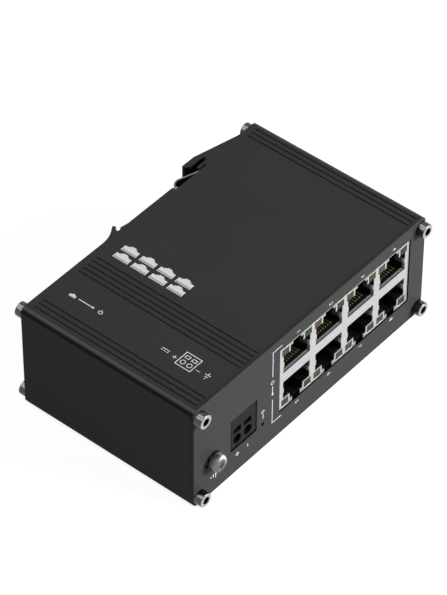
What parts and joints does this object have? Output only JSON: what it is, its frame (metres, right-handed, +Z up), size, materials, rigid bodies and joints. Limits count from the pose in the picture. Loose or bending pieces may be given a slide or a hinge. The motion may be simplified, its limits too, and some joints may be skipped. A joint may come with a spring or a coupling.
{
  "type": "din rail ethernet switch",
  "caption": "Slab-shaped network switch in a black extruded housing, with stacked modular sockets and a power plug on one narrow face and rail hooks with a leaf spring on the opposite one.",
  "frame": {"origin": "centre of the lower wide side, which is flat and at Z = 0", "axes": "+X along the length away from the power plug, +Y from the ports to the rail side, +Z up across the thickness"},
  "size_m": [0.1, 0.0683, 0.0367],
  "materials": {
    "black_aluminium": "fine black powder coat on extruded and stamped aluminium",
    "spring_steel": "hardened spring steel strip",
    "zinc_steel": "bright zinc-plated steel",
    "dark_steel": "blackened spring steel",
    "green_laminate": "glass-epoxy board with green solder mask",
    "black_plastic": "moulded black thermoplastic",
    "grey_plastic": "moulded dark grey thermoplastic",
    "tinned_brass": "tin-plated brass pin",
    "clear_resin": "clear resin over a light chip",
    "nickel_sheet": "nickel-plated copper alloy sheet",
    "gold_contact": "gold-plated bronze wire",
    "green_resin": "green light window, unlit",
    "amber_resin": "amber light window, unlit",
    "chip_plastic": "black moulded component",
    "thermal_rubber": "soft silicone gap pad",
    "bare_aluminium": "plain machined aluminium",
    "capacitor_can": "sleeved aluminium can",
    "ferrite": "ferrite core",
    "ceramic": "white ceramic body"
  },
  "bodies": {
    "root": {"housing_sleeve": "black_aluminium", "front_panel": "black_aluminium", "rear_panel": "black_aluminium", "rail_spring": "spring_steel", "front_screws": "zinc_steel", "rear_screws": "zinc_steel", "ground_screw": "zinc_steel", "ground_lock_washer": "dark_steel", "circuit_board": "green_laminate", "power_header": "black_plastic", "header_pins": "tinned_brass", "power_plug": "grey_plastic", "plug_clamps": "spring_steel", "power_light": "clear_resin", "port_housing": "black_plastic", "port_shield": "nickel_sheet", "lower_port_contacts": "gold_contact", "upper_port_contacts": "gold_contact", "green_port_lights": "green_resin", "amber_port_lights": "amber_resin", "lan_transformers": "chip_plastic", "switch_chip": "chip_plastic", "thermal_pad": "thermal_rubber", "heat_spreader": "bare_aluminium", "poe_controllers": "chip_plastic", "poe_transistors": "chip_plastic", "sense_resistors": "chip_plastic", "input_capacitors": "capacitor_can", "common_mode_choke": "ferrite", "power_inductor": "ferrite", "input_fuse": "ceramic", "surge_diode": "chip_plastic", "regulator_chip": "chip_plastic", "crystal": "bare_aluminium", "memory_chip": "chip_plastic"}
  },
  "joints": []
}
